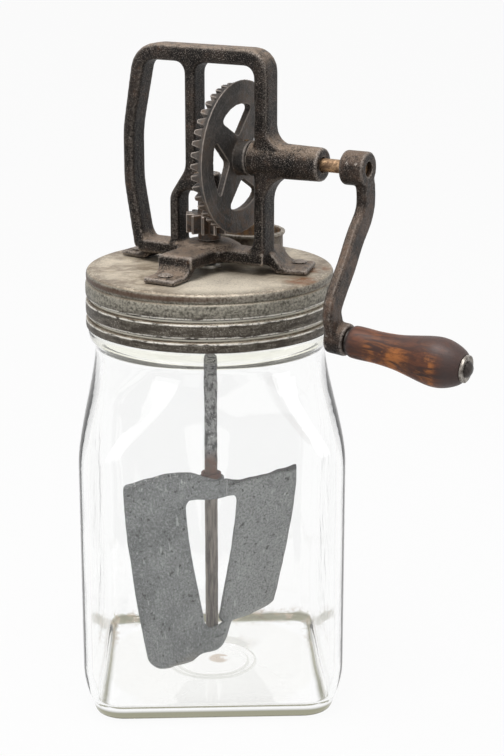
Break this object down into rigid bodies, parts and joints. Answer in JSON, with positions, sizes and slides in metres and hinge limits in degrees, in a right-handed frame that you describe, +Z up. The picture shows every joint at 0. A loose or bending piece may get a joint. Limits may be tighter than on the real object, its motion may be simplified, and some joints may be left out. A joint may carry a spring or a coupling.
{
  "type": "butter churn",
  "caption": "Hand-cranked butter churn: square glass jar, threaded tin lid, iron gear frame, face gear and pinion, crank with wooden handle and a twisted sheet dasher",
  "frame": {"origin": "centre of the jar's flat base, on the surface it stands on", "axes": "+Z up along the jar's axis, through the dasher shaft; X and Y are square to the jar's sides, -Y is the side seen in the picture; the crank shaft runs 32 degrees clockwise from +X, seen from above"},
  "size_m": [0.1684, 0.1602, 0.3014],
  "materials": {
    "clear_glass": "clear pressed glass, faintly green, with a thick base",
    "waxed_seal": "aged pale seal",
    "weathered_tin": "weathered tin plate, brown in its grooves and worn bright on its beads",
    "bright_tin": "tin plate worn bright",
    "rusted_tin": "rusted thin sheet",
    "worn_iron": "dark brown cast iron, worn and lightly rusted",
    "gear_iron": "dark cast iron gears, brighter on the teeth",
    "shaft_steel": "brown stained steel",
    "bright_steel": "steel worn bright",
    "dasher_steel": "stained steel rod",
    "grey_zinc": "dull grey galvanised sheet with pits and scratches",
    "varnished_wood": "reddish brown varnished wood, worn dark at its end"
  },
  "bodies": {
    "jar": {"glass_jar": "clear_glass"},
    "seal": {"lid_seal": "waxed_seal"},
    "lid": {"screw_lid": "weathered_tin", "shaft_sleeve": "bright_tin", "filler_neck": "weathered_tin", "filler_strainer": "rusted_tin", "gear_frame": "worn_iron", "foot_rivet_left": "worn_iron", "foot_rivet_right": "worn_iron", "foot_rivet_front": "worn_iron"},
    "crank": {"crank_shaft": "shaft_steel", "drive_wheel": "gear_iron", "wheel_pin": "shaft_steel", "crank_arm": "worn_iron", "handle_spindle": "shaft_steel", "handle_inner_washer": "shaft_steel", "handle_end_washer": "bright_steel"},
    "handle": {"wooden_handle": "varnished_wood"},
    "dasher": {"dasher_shaft": "dasher_steel", "pinion": "gear_iron", "pinion_pin": "shaft_steel", "dasher_blade": "grey_zinc", "blade_upper_ring": "rusted_tin"}
  },
  "joints": [
    {"name": "lid_lift", "type": "slide", "parent": "jar", "child": "seal", "axis": [0, 0, 1], "range_m": [0, 0.0091]},
    {"name": "lid_turn", "type": "hinge", "parent": "seal", "child": "lid", "pos_m": [0, 0, 0.1986], "axis": [0, 0, 1], "range_deg": [0, 450]},
    {"name": "crank_turn", "type": "hinge", "parent": "lid", "child": "crank", "pos_m": [0, 0, 0.2528], "axis": [0.848, -0.5299, 0], "continuous": true},
    {"name": "handle_spin", "type": "hinge", "parent": "crank", "child": "handle", "pos_m": [0.05337, -0.06085, 0.1831], "axis": [0.8302, -0.5514, -0.0827], "continuous": true},
    {"name": "dasher_spin", "type": "hinge", "parent": "lid", "child": "dasher", "pos_m": [0, 0, 0.2208], "axis": [0, 0, 1], "continuous": true}
  ],
  "couplings": [
    {"joint": "lid_lift", "follows": "lid_turn", "m_per_rad": 0.0011459},
    {"joint": "dasher_spin", "follows": "crank_turn", "ratio": 3.3333}
  ]
}
